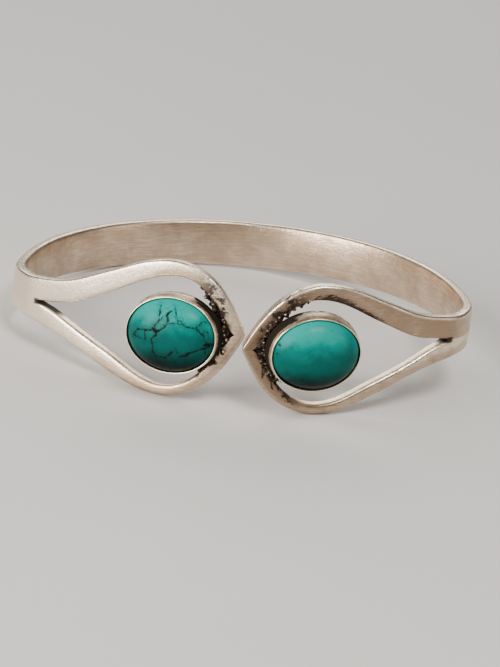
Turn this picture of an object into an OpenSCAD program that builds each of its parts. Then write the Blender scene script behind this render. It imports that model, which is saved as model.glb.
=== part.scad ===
// Open cuff bracelet in silver with an oval turquoise stone near each end.
// A plain band goes round the back and splits on each side into two strands.
// The strands open into an eye, meet again at a blunt tip, and the two tips meet at the front.
// Sizes are millimetres and degrees. The cuff lies on its side on the plane z = 0, eyes toward -y.

/* [Plan of the band, seen along the wrist] */
// Radius of the back curve at the outer face
back_r = 30.5; // [29:0.5:32]
// Angle of the back curve on each side of its centre
back_turn = 69.5; // [68:0.5:71]
// Radius of the flatter side
side_r = 40.5; // [38:0.5:44]
// Angle of the side
side_turn = 15; // [14:0.5:16]
// Radius of the front corner
corner_r = 8.7; // [8:0.1:9.5]
// Angle of the front corner
corner_turn = 56.5; // [55:0.5:58]
// Radius of the front, along the eye
front_r = 50; // [46:1:56]

/* [Arms] */
// Length of the left arm from the back centre to its tip
left_length = 87; // [86.8:0.1:87]
// Length of the right arm
right_length = 86.1; // [85.9:0.1:86.1]
// How far the left tip is lifted along the wrist
left_lift = 1.5; // [1.3:0.1:1.6]
// How far the right tip is lifted along the wrist
right_lift = -0.4; // [-0.6:0.1:-0.2]
// Twist of the left arm at its tip, leaning the face up
left_twist = 4; // [0:0.5:6]
// Twist of the right arm at its tip
right_twist = -4.5; // [-6:0.5:0]
// How much wider the left arm's lower strand is beside the eye
left_widening = 0.5; // [0:0.05:0.6]
// How much wider the right arm's lower strand is beside the eye
right_widening = 0; // [0:0.05:0.6]

/* [Metal] */
// Thickness of the band and of the strands
metal_t = 1.7; // [1.5:0.05:1.9]
// Radius of the rounded edges
edge_r = 0.4; // [0.3:0.05:0.5]
// Rise of the band's outer face above its edges
outer_crown = 0.2; // [0.1:0.05:0.3]
// Rise of the band's inner face above its edges
inner_crown = 0.3; // [0.1:0.05:0.4]

/* [Stones] */
// Length of a stone
stone_l = 12; // [11.6:0.1:12.2]
// Width of a stone
stone_w = 10; // [9.6:0.1:10.2]
// Height of a stone
stone_h = 4.1; // [3.8:0.1:4.5]
// Height of the upright girdle under the dome
girdle_h = 0.8; // [0.7:0.1:0.9]
// Distance of a stone's centre from the tip
stone_from_tip = 9.1; // [8.9:0.1:9.4]
// Height of the left stone's centre above the middle of its arm
left_stone_up = -0.3; // [-0.5:0.1:0.5]
// Height of the right stone's centre above the middle of its arm
right_stone_up = 0.4; // [-0.5:0.1:0.5]

/* [Settings] */
// Height of a setting from its back plate to its rim
setting_h = 2.4; // [2.3:0.05:2.5]
// How far the rim stands above the outer face of the strands
rim_stand = 2.4; // [2.3:0.05:2.5]
// Thickness of the collar
collar_t = 0.2; // [0.2:0.01:0.25]
// How far the rim leans in over the stone
rim_lean = 0.13; // [0.1:0.01:0.15]
// Thickness of the back plate
plate_t = 0.4; // [0.35:0.05:0.45]
// Width of the plate's lip outside the collar
plate_lip = 0.1; // [0.09:0.01:0.2]
// Gap between a stone and its collar
stone_gap = 0.06; // [0.06:0.01:0.08]

/* [Solder at the tips] */
// Depth of the solder web below the outer face
web_recess = 0.3; // [0.25:0.05:0.35]
// Number of solder beads round the tip side of a setting
beads = 5; // [4:1:5]
// Radius of the largest bead, before its facets
bead_r = 0.5; // [0.4:0.05:0.5]

/* [Rest on a surface] */
// Tilt that raises the front
rest_pitch = -6.2; // [-8:0.1:0]
// Tilt that lowers the left side
rest_roll = -4; // [-6:0.1:0]

/* [Hidden] */

// An arm: side of the wrist, length, lift and twist at the tip, height of its stone,
// widening of its lower strand
LEFT = [-1, left_length, left_lift, left_twist, left_stone_up, left_widening];
RIGHT = [1, right_length, right_lift, right_twist, right_stone_up, right_widening];

// Arcs of the plan from the back centre toward a tip: radius, angle. The last one runs on past the tip.
ARCS = [
    [back_r, back_turn],
    [side_r, side_turn],
    [corner_r, corner_turn],
    [front_r, 60]
];

// Outer edges of an arm: distance from the tip, height of the upper edge, of the lower edge
OUTLINE = [
    [0, 0.25, -0.25],
    [1, 2.25, -2.2],
    [2.5, 4.65, -4.6],
    [4.5, 6.85, -6.8],
    [7, 8.4, -8.3],
    [10, 9.1, -9.1],
    [14, 8.5, -8.6],
    [19, 6.5, -6.7],
    [25, 4.1, -4.2],
    [31, 3.15, -2.75],
    [35, 3.15, -2.5],
    [55, 3.2, -2.9],
    [75, 3.25, -3.25],
    [95, 3.25, -3.25]
];

// Edges of the opening: distance from the tip, height of the upper edge, of the lower edge
OPENING = [
    [0, 0, 0],
    [1.4, 0.05, -0.05],
    [2.6, 1.3, -1.3],
    [4, 3.55, -3.55],
    [6.5, 6.1, -6.3],
    [9.5, 7, -7.6],
    [13, 6.3, -7.35],
    [18, 3.9, -5.2],
    [24, 1.15, -2.6],
    [28, 0.3, -0.8],
    [30.2, 0.12, -0.3],
    [33, 0.12, -0.3]
];

// Where the band starts, as a distance from the tip
crotch = 30.2;
// Where the wider stretch of a lower strand starts
widening_start = 11;
// How far a strand is buried in the band
strand_root = 1.79;
// How much a buried stretch is shrunk below the band's skin
burial = 0.16;
// Rise of a strand's faces above its edges
strand_crown = 0.06;
// Stretch behind the crotch over which the band's faces rise to their full crown
crown_run = 16;
// Where the solid tip ends, as a distance from its point
tip_end = 1.48;
// How far the web reaches into the strands
joint_lap = 0.38;
// Stretch of the web, as distances from the tip, and its height above the inner face
web_start = 0.54;
web_end = 4.68;
web_back = 0.12;
// Beads: angle that they cover round the collar, distance of the lower end out from it,
// depth of the lower end, height of the upper end and its size as a share of the lower one
bead_spread = 119;
bead_out = 0.32;
bead_foot = 0.7;
bead_climb = 0.45;
bead_taper = 0.6;
// Step that every point is rounded to, so that flat ends have no needle-thin triangles
point_step = 0.012;
// Stations along the band and along a strand, and how much a strand's crowd toward the tip
band_steps = 42;
strand_steps = 30;
strand_crowding = 1.35;
// Stations of the tip and of the web
tip_stations = [0, 0.3, 0.6, 1, tip_end];
web_stations = [web_start, 1.6, 2.6, 3.6, 4.3, web_end];
// Largest edge radius, as a share of a bar's height
edge_share = 0.45;
// Points round a setting or a stone
oval_sides = 48;
// Rings of a dome, angle that they climb, and fullness of its shoulder
dome_rings = 9;
dome_turn = 86;
dome_power = 0.9;

// Bevels: width and height at the plate's edge, width at the rim, width at the stone's foot
plate_bevel = [0.08, 0.1];
rim_bevel = 0.06;
foot_bevel = 0.25;
// Height of the collar's bend, as a share of the way from the plate to the rim
bend = 0.6;

// Half sizes of the stone, and growth from its outline to the collar's outer foot
stone_a = stone_l / 2;
stone_b = stone_w / 2;
foot_grow = stone_gap + collar_t;

// Position and heading in the plan at distance s from the back centre
function walk(s, i = 0, x = 0, y = 0, turned = 0) =
    let (r = ARCS[i][0], a = ARCS[i][1], run = s / r * 180 / PI)
    i == len(ARCS) - 1 || run <= a
        ? [x + r * (sin(turned + run) - sin(turned)), y + r * (cos(turned + run) - cos(turned)), turned + run]
        : walk(
            s - r * a * PI / 180,
            i + 1,
            x + r * (sin(turned + a) - sin(turned)),
            y + r * (cos(turned + a) - cos(turned)),
            turned + a
        );

// Point of an arm at a distance from its tip, a height across it and a depth below its outer face
function on_arm(arm, from_tip, height, depth) =
    let (
        s = arm[1] - from_tip,
        share = s / arm[1],
        lean = arm[3] * share,
        p = walk(s),
        out = -depth * cos(lean) - height * sin(lean),
        up = height * cos(lean) - depth * sin(lean) + arm[2] * share * share
    )
    [arm[0] * (p.x + sin(p.z) * out), p.y + cos(p.z) * out, up];

// Smooth curve through the rows of a table: value of one column at distance d
function row_slope(rows, col, i) =
    let (a = max(i - 1, 0), b = min(i + 1, len(rows) - 1))
    (rows[b][col] - rows[a][col]) / (rows[b][0] - rows[a][0]);
function row_before(rows, d, i = 0) =
    i >= len(rows) - 2 || rows[i + 1][0] > d ? i : row_before(rows, d, i + 1);
function curve(rows, col, d) =
    let (
        i = row_before(rows, d),
        h = rows[i + 1][0] - rows[i][0],
        t = (d - rows[i][0]) / h,
        from = rows[i][col],
        to = rows[i + 1][col],
        m0 = row_slope(rows, col, i) * h,
        m1 = row_slope(rows, col, i + 1) * h
    )
    from + t * (m0 + t * (3 * (to - from) - 2 * m0 - m1 + t * (m0 + m1 - 2 * (to - from))));

// Edge of an arm's opening. The widening of the lower strand swells and fades along the eye.
function opening(arm, upper, d) =
    let (swell = sin(180 * (d - widening_start) / (crotch - widening_start)))
    upper ? curve(OPENING, 1, d) : curve(OPENING, 2, d) + arm[5] * max(0, swell);

// Rounded section of a bar between two heights and two depths, as pairs of height and depth
function section(low, high, top, bottom, rise_out, rise_in, mids) =
    let (
        r = min(edge_r, (high - low) * edge_share),
        quarter = [0, 45, 90],
        o = top + rise_out + r,
        n = bottom - rise_in - r
    )
    concat(
        [for (a = quarter) [low + r - r * sin(a), o - r * cos(a)]],
        [for (a = quarter) [low + r - r * cos(a), n + r * sin(a)]],
        [for (j = [1:mids])
            let (f = j / (mids + 1), c = 2 * f - 1)
            [low + r + (high - low - 2 * r) * f, bottom - rise_in * c * c]],
        [for (a = quarter) [high - r + r * sin(a), n + r * cos(a)]],
        [for (a = quarter) [high - r + r * cos(a), o - r * sin(a)]],
        [for (j = [mids:-1:1])
            let (f = j / (mids + 1), c = 2 * f - 1)
            [low + r + (high - low - 2 * r) * f, top + rise_out * c * c]]
    );

function rounded(p) = [for (v = p) round(v / point_step) * point_step];
function station(arm, from_tip, outline) = [for (q = outline) rounded(on_arm(arm, from_tip, q[0], q[1]))];

// The band from one crotch round the back to the other
function band_station(arm, from_tip) =
    let (share = min(1, (from_tip - crotch) / crown_run))
    station(
        arm,
        from_tip,
        section(
            curve(OUTLINE, 2, from_tip),
            curve(OUTLINE, 1, from_tip),
            0,
            metal_t,
            strand_crown + (outer_crown - strand_crown) * share,
            strand_crown + (inner_crown - strand_crown) * share,
            3
        )
    );
BAND = [
    for (i = [0:band_steps])
        let (
            left_run = left_length - crotch,
            right_run = right_length - crotch,
            s = i * (left_run + right_run) / band_steps - left_run
        )
        s < 0 ? band_station(LEFT, left_length + s) : band_station(RIGHT, right_length - s)
];

// Stations crowd toward the tip, where the outline turns fastest
function strand_run(i) = (crotch + strand_root) * pow(i / strand_steps, strand_crowding);

// A strand of an arm, upper or lower, from its root in the tip to its root in the band
function strand(arm, upper) = [
    for (i = [1:strand_steps])
        let (
            d = strand_run(i),
            buried = d < tip_end || d > crotch ? burial : 0,
            inner = opening(arm, upper, d),
            outer = upper ? curve(OUTLINE, 1, d) - buried : curve(OUTLINE, 2, d) + buried,
            low = min(inner, outer),
            high = max(inner, outer)
        )
        station(arm, d, section(low, high, buried, metal_t - buried, strand_crown, strand_crown, 1))
];

// Blunt tip that joins the two strands
function tip(arm) = [
    for (d = tip_stations)
        let (low = curve(OUTLINE, 2, d), high = curve(OUTLINE, 1, d))
        station(arm, d, section(low, high, 0, metal_t, strand_crown, strand_crown, 1))
];

// Solder web that fills the opening between the tip and the setting
function web(arm) = [
    for (d = web_stations)
        let (low = opening(arm, false, d) - joint_lap, high = opening(arm, true, d) + joint_lap)
        station(arm, d, section(low, high, web_recess, metal_t - web_back, 0, 0, 1))
];

// Point in the frame of an arm's setting: along the arm toward +x, across it, outward
function seated(arm, p) =
    let (
        c = on_arm(arm, stone_from_tip, arm[4], 0),
        out = on_arm(arm, stone_from_tip, arm[4], -1) - c,
        across = on_arm(arm, stone_from_tip, arm[4] + 1, 0) - c,
        along = cross(across, out)
    )
    c + p.x * along + p.y * across + p.z * out;

// Oval ring grown outward from the stone's own outline at a height above the arm's outer face
function oval(arm, grow, z) = [
    for (k = [0:oval_sides - 1])
        let (a = k * 360 / oval_sides)
        rounded(seated(arm, [(stone_a + grow) * cos(a), (stone_b + grow) * sin(a), z]))
];

// Heights of the plate's foot, of the stone's seat and of the collar's bend
plate_z = rim_stand - setting_h;
seat_z = plate_z + plate_t;
bend_z = seat_z + (rim_stand - seat_z) * bend;
plate_grow = foot_grow + plate_lip;
rim_grow = foot_grow - rim_lean;
// Cup of a setting: growth outside the stone's outline, height
CUP = [
    [plate_grow - plate_bevel[0], plate_z],
    [plate_grow, plate_z + plate_bevel[1]],
    [plate_grow, seat_z - plate_bevel[1]],
    [plate_grow - plate_bevel[0], seat_z],
    [foot_grow, seat_z],
    [foot_grow - rim_lean * 0.2, bend_z],
    [rim_grow, rim_stand - rim_bevel],
    [rim_grow - rim_bevel, rim_stand],
    [rim_grow - collar_t + rim_bevel, rim_stand],
    [rim_grow - collar_t, rim_stand - rim_bevel],
    [stone_gap - rim_lean * 0.1, bend_z],
    [stone_gap, seat_z]
];
function cup(arm) = [for (row = CUP) oval(arm, row[0], row[1])];

// A stone: girdle, then a dome that follows a flattened oval to a small crown
foot_z = seat_z + stone_gap;
dome_h = stone_h - girdle_h;
function stone(arm) = concat(
    [oval(arm, -foot_bevel, foot_z), oval(arm, 0, foot_z + foot_bevel)],
    [
        for (i = [0:dome_rings])
            let (a = i * dome_turn / dome_rings, share = pow(cos(a), dome_power))
            [
                for (k = [0:oval_sides - 1])
                    let (
                        w = k * 360 / oval_sides,
                        z = foot_z + girdle_h + dome_h * sin(a)
                    )
                    rounded(seated(arm, [stone_a * share * cos(w), stone_b * share * sin(w), z]))
            ]
    ]
);

// Point of the cuff as it lies, and the bounds that put the origin under its middle
function laid(p) =
    let (
        y = p.y * cos(rest_pitch) - p.z * sin(rest_pitch),
        z = p.y * sin(rest_pitch) + p.z * cos(rest_pitch)
    )
    [p.x * cos(rest_roll) + z * sin(rest_roll), y, z * cos(rest_roll) - p.x * sin(rest_roll)];
SKINS = concat(
    BAND,
    [for (arm = [LEFT, RIGHT]) for (upper = [true, false]) each strand(arm, upper)],
    [for (arm = [LEFT, RIGHT]) each concat(tip(arm), cup(arm), stone(arm))]
);
LAID = [for (ring = SKINS) for (p = ring) laid(p)];
function mid(axis) = (min([for (p = LAID) p[axis]]) + max([for (p = LAID) p[axis]])) / 2;
floor_z = min([for (p = LAID) p.z]);

module lay() {
    translate([-mid(0), -mid(1), -floor_z])
        rotate([rest_pitch, rest_roll, 0])
            children();
}

// Closed skin through rings of equal count. A flipped skin has its rings wound the other way.
module skin(rings, flipped) {
    n = len(rings[0]);
    last = (len(rings) - 1) * n;
    sides = [
        for (i = [0:len(rings) - 2])
            for (k = [0:n - 1])
                let (a = i * n + k, b = i * n + (k + 1) % n)
                each [[a, b, b + n], [a, b + n, a + n]]
    ];
    caps = [for (k = [1:n - 2]) each [[0, k + 1, k], [last, last + k, last + k + 1]]];
    faces = concat(sides, caps);
    polyhedron(
        points = [for (ring = rings) each ring],
        faces = flipped ? [for (f = faces) [f[2], f[1], f[0]]] : faces
    );
}

// Point beside a collar at an angle from the direction of the tip
function beside(arm, angle, grow, z) =
    let (a = arm[0] < 0 ? angle : 180 - angle)
    seated(arm, [(stone_a + foot_grow + grow) * cos(a), (stone_b + foot_grow + grow) * sin(a), z]);

// One solder bead that fills the groove between the collar and the web or a strand
module bead(arm, angle, r) {
    hull() {
        translate(beside(arm, angle, bead_out, -bead_foot)) sphere(r, $fn = 6);
        translate(beside(arm, angle, 0, bead_climb)) sphere(r * bead_taper, $fn = 6);
    }
}

module cuff() {
    color("silver") lay() {
        skin(BAND, false);
        for (arm = [LEFT, RIGHT]) {
            flipped = arm[0] > 0;
            skin(tip(arm), flipped);
            skin(strand(arm, true), flipped);
            skin(strand(arm, false), flipped);
            skin(web(arm), flipped);
            skin(cup(arm), true);
            for (i = [0:beads - 1])
                bead(arm, (i / (beads - 1) - 0.5) * bead_spread, bead_r * (0.8 + 0.2 * sin(i * 130)));
        }
    }
}

module left_stone() {
    color("darkturquoise") lay() skin(stone(LEFT), true);
}

module right_stone() {
    color("mediumturquoise") lay() skin(stone(RIGHT), true);
}

cuff();
left_stone();
right_stone();
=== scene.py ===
import logging
import math
import random
from collections.abc import Callable, Iterable, Iterator, Sequence
from contextlib import contextmanager
from dataclasses import dataclass, field
from enum import Enum
from itertools import pairwise

import bmesh
import bpy
from mathutils import Matrix, Vector, noise


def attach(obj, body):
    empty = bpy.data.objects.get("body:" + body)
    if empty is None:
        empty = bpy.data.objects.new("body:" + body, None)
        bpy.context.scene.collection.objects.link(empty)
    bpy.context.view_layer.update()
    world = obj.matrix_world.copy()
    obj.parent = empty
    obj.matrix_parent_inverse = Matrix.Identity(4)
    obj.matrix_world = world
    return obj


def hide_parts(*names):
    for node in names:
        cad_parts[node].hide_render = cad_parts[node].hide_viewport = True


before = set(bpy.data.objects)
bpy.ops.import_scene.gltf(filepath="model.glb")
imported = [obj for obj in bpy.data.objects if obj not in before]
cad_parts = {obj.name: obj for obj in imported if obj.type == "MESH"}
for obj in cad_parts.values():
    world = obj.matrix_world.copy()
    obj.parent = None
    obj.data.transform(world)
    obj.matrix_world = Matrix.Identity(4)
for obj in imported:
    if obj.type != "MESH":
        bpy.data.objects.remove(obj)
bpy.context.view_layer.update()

LOG = logging.getLogger("cuff")
MM = 0.001
Number = float | int
Span = tuple[float, float]
Trio = tuple[float, float, float]


def smooth(low: float, high: float, value: float) -> float:
    """Eased step.

    Args:
        low: Value at which the step begins.
        high: Value at which it ends.
        value: Value to ease.

    Returns:
        0 before low, 1 after high.
    """
    share = min(1.0, max(0.0, (value - low) / (high - low)))
    return share * share * (3.0 - 2.0 * share)


def steps(start: float, stop: float, longest: float) -> list[float]:
    """Even stations from start up to, but without, stop.

    Args:
        start: First station.
        stop: End of the stretch.
        longest: Longest step allowed.

    Returns:
        The stations.
    """
    count = max(1, math.ceil(abs(stop - start) / longest))
    return [start + (stop - start) * i / count for i in range(count)]


# ---------------------------------------------------------------- the cuff's own measures


class Side(Enum):
    """The two sides of the wrist, seen from the front."""

    LEFT = -1
    RIGHT = 1

    def called(self, what: str) -> str:
        """Returns the name of something on this side."""
        return f"{self.name.lower()}_{what}"


@dataclass(frozen=True)
class Lie:
    """How the cuff lies on the floor. Degrees, and a shift in millimetres."""

    pitch: float = -6.2
    roll: float = -4.0
    shift: Trio = (0.25992, 25.8591, 3.70709)

    def matrix(self) -> Matrix:
        """Move from the upright cuff in millimetres to the frame in metres.

        Returns:
            The move.
        """
        pitch = Matrix.Rotation(math.radians(self.pitch), 4, "X")
        roll = Matrix.Rotation(math.radians(self.roll), 4, "Y")
        return Matrix.Scale(MM, 4) @ Matrix.Translation(Vector(self.shift)) @ roll @ pitch


@dataclass(frozen=True)
class Edges:
    """A pair of edges along an arm. Rows give the distance from the tip and the heights of both edges."""

    rows: tuple[Trio, ...]

    def at(self, from_tip: float, upper: bool) -> float:
        """Height of one edge on a smooth curve through the rows.

        Args:
            from_tip: Distance from the tip.
            upper: True for the upper edge.

        Returns:
            The height.
        """
        column = 1 if upper else 2
        last = len(self.rows) - 1
        from_tip = min(from_tip, self.rows[last][0])
        i = 0
        while i < last - 1 and self.rows[i + 1][0] <= from_tip:
            i += 1

        def slope(k: int) -> float:
            """Returns the slope of the curve at row k."""
            before, after = self.rows[max(k - 1, 0)], self.rows[min(k + 1, last)]
            return (after[column] - before[column]) / (after[0] - before[0])

        a, b = self.rows[i], self.rows[i + 1]
        run = b[0] - a[0]
        t = (from_tip - a[0]) / run
        m, n, rise = slope(i) * run, slope(i + 1) * run, b[column] - a[column]
        return a[column] + t * (m + t * (3 * rise - 2 * m - n + t * (m + n - 2 * rise)))


OUTLINE = Edges((
    (0, 0.25, -0.25), (1, 2.25, -2.2), (2.5, 4.65, -4.6), (4.5, 6.85, -6.8), (7, 8.4, -8.3), (10, 9.1, -9.1),
    (14, 8.5, -8.6), (19, 6.5, -6.7), (25, 4.1, -4.2), (31, 3.15, -2.75), (35, 3.15, -2.5), (55, 3.2, -2.9),
    (75, 3.25, -3.25), (95, 3.25, -3.25),
))
OPENING = Edges((
    (0, 0, 0), (1.4, 0.05, -0.05), (2.6, 1.3, -1.3), (4, 3.55, -3.55), (6.5, 6.1, -6.3), (9.5, 7, -7.6),
    (13, 6.3, -7.35), (18, 3.9, -5.2), (24, 1.15, -2.6), (28, 0.3, -0.8), (30.2, 0.12, -0.3), (33, 0.12, -0.3),
))
CROTCH = 30.2        # from the tip to where the strands fork
SWELL_START = 11.0   # from the tip to where a widened lower strand begins to swell
TIP_END = 1.48       # from the tip to the opening
METAL = 1.7          # thickness of the strip


@dataclass(frozen=True)
class Arm:
    """Half of the cuff, from the middle of the back to a tip. Millimetres and degrees."""

    side: Side
    length: float
    lift: float
    twist: float
    stone_up: float
    widening: float
    stone_from_tip: float = 9.1
    arcs: tuple[Span, ...] = ((30.5, 69.5), (40.5, 15.0), (8.7, 56.5), (50.0, 60.0))

    def walk(self, run: float) -> Trio:
        """Follows the plan from the middle of the back.

        Args:
            run: Distance walked.

        Returns:
            Place across and along the wrist's plan, and the heading in radians.
        """
        x = y = turned = 0.0
        for i, (radius, degrees) in enumerate(self.arcs):
            arc = math.radians(degrees)
            last = i == len(self.arcs) - 1 or run <= radius * arc
            bend = run / radius if last else arc
            x += radius * (math.sin(turned + bend) - math.sin(turned))
            y += radius * (math.cos(turned + bend) - math.cos(turned))
            turned += bend
            if last:
                break
            run -= radius * arc
        return x, y, turned

    def place(self, from_tip: float, height: float, depth: float) -> Vector:
        """Puts a point of the flat strip on the bent arm.

        Args:
            from_tip: Distance from the tip.
            height: Height across the strip.
            depth: Depth below the outer face.

        Returns:
            The point on the upright cuff.
        """
        run = self.length - from_tip
        share = run / self.length
        lean = math.radians(self.twist * share)
        x, y, turned = self.walk(run)
        out = -depth * math.cos(lean) - height * math.sin(lean)
        up = height * math.cos(lean) - depth * math.sin(lean) + self.lift * share * share
        return Vector((self.side.value * (x + math.sin(turned) * out), y + math.cos(turned) * out, up))

    def opening(self, from_tip: float, upper: bool) -> float:
        """Edge of the arm's opening. A widened lower strand swells and fades along it.

        Args:
            from_tip: Distance from the tip.
            upper: True for the upper edge.

        Returns:
            The height.
        """
        edge = OPENING.at(from_tip, upper)
        swell = math.sin(math.pi * (from_tip - SWELL_START) / (CROTCH - SWELL_START))
        return edge if upper else edge + self.widening * max(0.0, swell)

    def seat(self) -> Matrix:
        """Move from the setting's own frame, along, across and outward, to the upright cuff.

        Returns:
            The move.
        """
        middle = self.place(self.stone_from_tip, self.stone_up, 0)
        outward = self.place(self.stone_from_tip, self.stone_up, -1) - middle
        across = self.place(self.stone_from_tip, self.stone_up + 1, 0) - middle
        along = across.cross(outward)
        move = Matrix((along, across, outward)).transposed().to_4x4()
        move.translation = middle
        return move


LIE = Lie()
ARMS = (Arm(Side.LEFT, 87.0, 1.5, 4.0, -0.3, 0.5), Arm(Side.RIGHT, 86.1, -0.4, -4.5, 0.4, 0.0))


# ---------------------------------------------------------------- the bench


class Bench:
    """Steps that are used on every piece."""

    @staticmethod
    def begin(name: str, add: Callable[..., set[str]], **settings: object) -> bpy.types.Object:
        """Adds a primitive with nothing else selected.

        Args:
            name: Name of the piece.
            add: Operator that adds the primitive.
            **settings: Sizes of the primitive.

        Returns:
            The new object.
        """
        bpy.ops.object.select_all(action="DESELECT")
        add(**settings)
        piece = bpy.context.object
        piece.name = piece.data.name = name
        return piece

    @staticmethod
    @contextmanager
    def editing() -> Iterator[None]:
        """Enters edit mode with all of the active piece selected, and leaves it again.

        Yields:
            Nothing. The block works in edit mode.
        """
        bpy.ops.object.mode_set(mode="EDIT")
        bpy.ops.mesh.select_all(action="SELECT")
        yield
        bpy.ops.object.mode_set(mode="OBJECT")

    @staticmethod
    def extrude(way: float) -> None:
        """Extrudes what is selected up or down."""
        bpy.ops.mesh.extrude_region_move(TRANSFORM_OT_translate={"value": (0.0, 0.0, way)})

    @staticmethod
    def pick(piece: bpy.types.Object, wanted: Callable[[Vector], bool]) -> None:
        """Selects, in edit mode, the faces whose middles are wanted.

        Args:
            piece: Object in edit mode.
            wanted: Test of a face's middle.
        """
        bpy.ops.mesh.select_mode(type="FACE")
        bpy.ops.mesh.select_all(action="DESELECT")
        shape = bmesh.from_edit_mesh(piece.data)
        for face in shape.faces:
            face.select = wanted(face.calc_center_median())
        shape.select_flush(True)
        bmesh.update_edit_mesh(piece.data)

    @staticmethod
    def form(piece: bpy.types.Object, shape: Callable[[Vector], Vector]) -> None:
        """Moves each vertex to its formed place.

        Args:
            piece: Object in object mode.
            shape: Place of a vertex from its place before.
        """
        for vertex in piece.data.vertices:
            vertex.co = shape(vertex.co.copy())

    @staticmethod
    def write(piece: bpy.types.Object, name: str, values: Iterable[Sequence[float]]) -> None:
        """Keeps a vector at each vertex for the finish to read.

        Args:
            piece: Object in object mode.
            name: Name of the attribute.
            values: One vector for each vertex.
        """
        store = piece.data.attributes.new(name, "FLOAT_VECTOR", "POINT")
        for item, value in zip(store.data, values, strict=True):
            item.vector = value

    @staticmethod
    def turn_outward() -> None:
        """Merges the active piece's doubles and turns all its faces outward."""
        with Bench.editing():
            bpy.ops.mesh.remove_doubles(threshold=1e-5)
            bpy.ops.mesh.normals_make_consistent(inside=False)

    @staticmethod
    def modify(piece: bpy.types.Object, kind: str, **settings: object) -> None:
        """Adds a modifier and applies it.

        Args:
            piece: The active object.
            kind: Type of the modifier.
            **settings: Values of the modifier.
        """
        modifier = piece.modifiers.new(kind.title(), kind)
        for key, value in settings.items():
            setattr(modifier, key, value)
        bpy.ops.object.modifier_apply(modifier=modifier.name)

    @staticmethod
    def lay(piece: bpy.types.Object, seat: Matrix | None, degrees: float) -> None:
        """Lays a piece into the frame, in metres, and smooths it up to an angle.

        Args:
            piece: Object in millimetres.
            seat: Move to the upright cuff, if the piece has its own frame.
            degrees: Largest angle that is shaded smooth.
        """
        piece.data.transform(LIE.matrix() @ (seat or Matrix.Identity(4)))
        bpy.ops.object.select_all(action="DESELECT")
        piece.select_set(True)
        bpy.context.view_layer.objects.active = piece
        bpy.ops.object.shade_smooth_by_angle(angle=math.radians(degrees))


# ---------------------------------------------------------------- shader maths


@dataclass(frozen=True)
class Cloud:
    """A noise: its features in each millimetre, octaves, strength of the finer octaves, and distortion."""

    scale: float
    detail: float = 3.0
    rough: float = 0.55
    warp: float = 0.0


class Reach(Enum):
    """What the distance in a pattern of cells is measured to."""

    MIDDLE = "F1"
    EDGE = "DISTANCE_TO_EDGE"


class Wire:
    """A shader socket that can stand in sums, products and steps."""

    def __init__(self, paint: "Paint", socket: bpy.types.NodeSocket) -> None:
        """Keeps the paint and the socket."""
        self.paint = paint
        self.socket = socket

    def math(self, operation: str, *others: "Wire | Number", first: bool = True) -> "Wire":
        """Adds a Math node.

        Args:
            operation: The node's operation.
            *others: Its other values.
            first: True if this socket is its first value.

        Returns:
            The result.
        """
        values = (self, *others) if first else (*others, self)
        return self.paint.node("ShaderNodeMath", {"operation": operation}, dict(enumerate(values)))

    def __add__(self, other: "Wire | Number") -> "Wire":
        """Sum."""
        return self.math("ADD", other)

    __radd__ = __add__

    def __sub__(self, other: "Wire | Number") -> "Wire":
        """Difference."""
        return self.math("SUBTRACT", other)

    def __rsub__(self, other: "Wire | Number") -> "Wire":
        """Difference from a number."""
        return self.math("SUBTRACT", other, first=False)

    def __mul__(self, other: "Wire | Number") -> "Wire":
        """Product."""
        return self.math("MULTIPLY", other)

    __rmul__ = __mul__

    def __truediv__(self, other: "Wire | Number") -> "Wire":
        """Quotient."""
        return self.math("DIVIDE", other)

    def at_least(self, other: "Wire | Number") -> "Wire":
        """Returns the larger of two values."""
        return self.math("MAXIMUM", other)

    def at_most(self, other: "Wire | Number") -> "Wire":
        """Returns the smaller of two values."""
        return self.math("MINIMUM", other)

    def step(self, low: float, high: float) -> "Wire":
        """Eased step.

        Args:
            low: Value that gives 0.
            high: Value that gives 1. It may be the smaller one.

        Returns:
            The step, between 0 and 1.
        """
        return self.paint.node(
            "ShaderNodeMapRange", {"interpolation_type": "SMOOTHSTEP"},
            {"Value": self, "From Min": low, "From Max": high},
        )

    def vector(self, operation: str, *others: "Wire | Trio | Number", out: int = 0) -> "Wire":
        """Adds a Vector Math node.

        Args:
            operation: The node's operation.
            *others: Its other values.
            out: Which output to take.

        Returns:
            The result.
        """
        inputs: dict[int | str, object] = {0: self}
        if operation == "SCALE":
            inputs["Scale"] = others[0]
        else:
            inputs.update({i + 1: other for i, other in enumerate(others)})
        return self.paint.node("ShaderNodeVectorMath", {"operation": operation}, inputs, out)

    def parts(self) -> tuple["Wire", "Wire", "Wire"]:
        """Returns the three parts of a vector."""
        split = self.paint.raw("ShaderNodeSeparateXYZ", {}, {0: self})
        return tuple(Wire(self.paint, output) for output in split.outputs)


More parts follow.
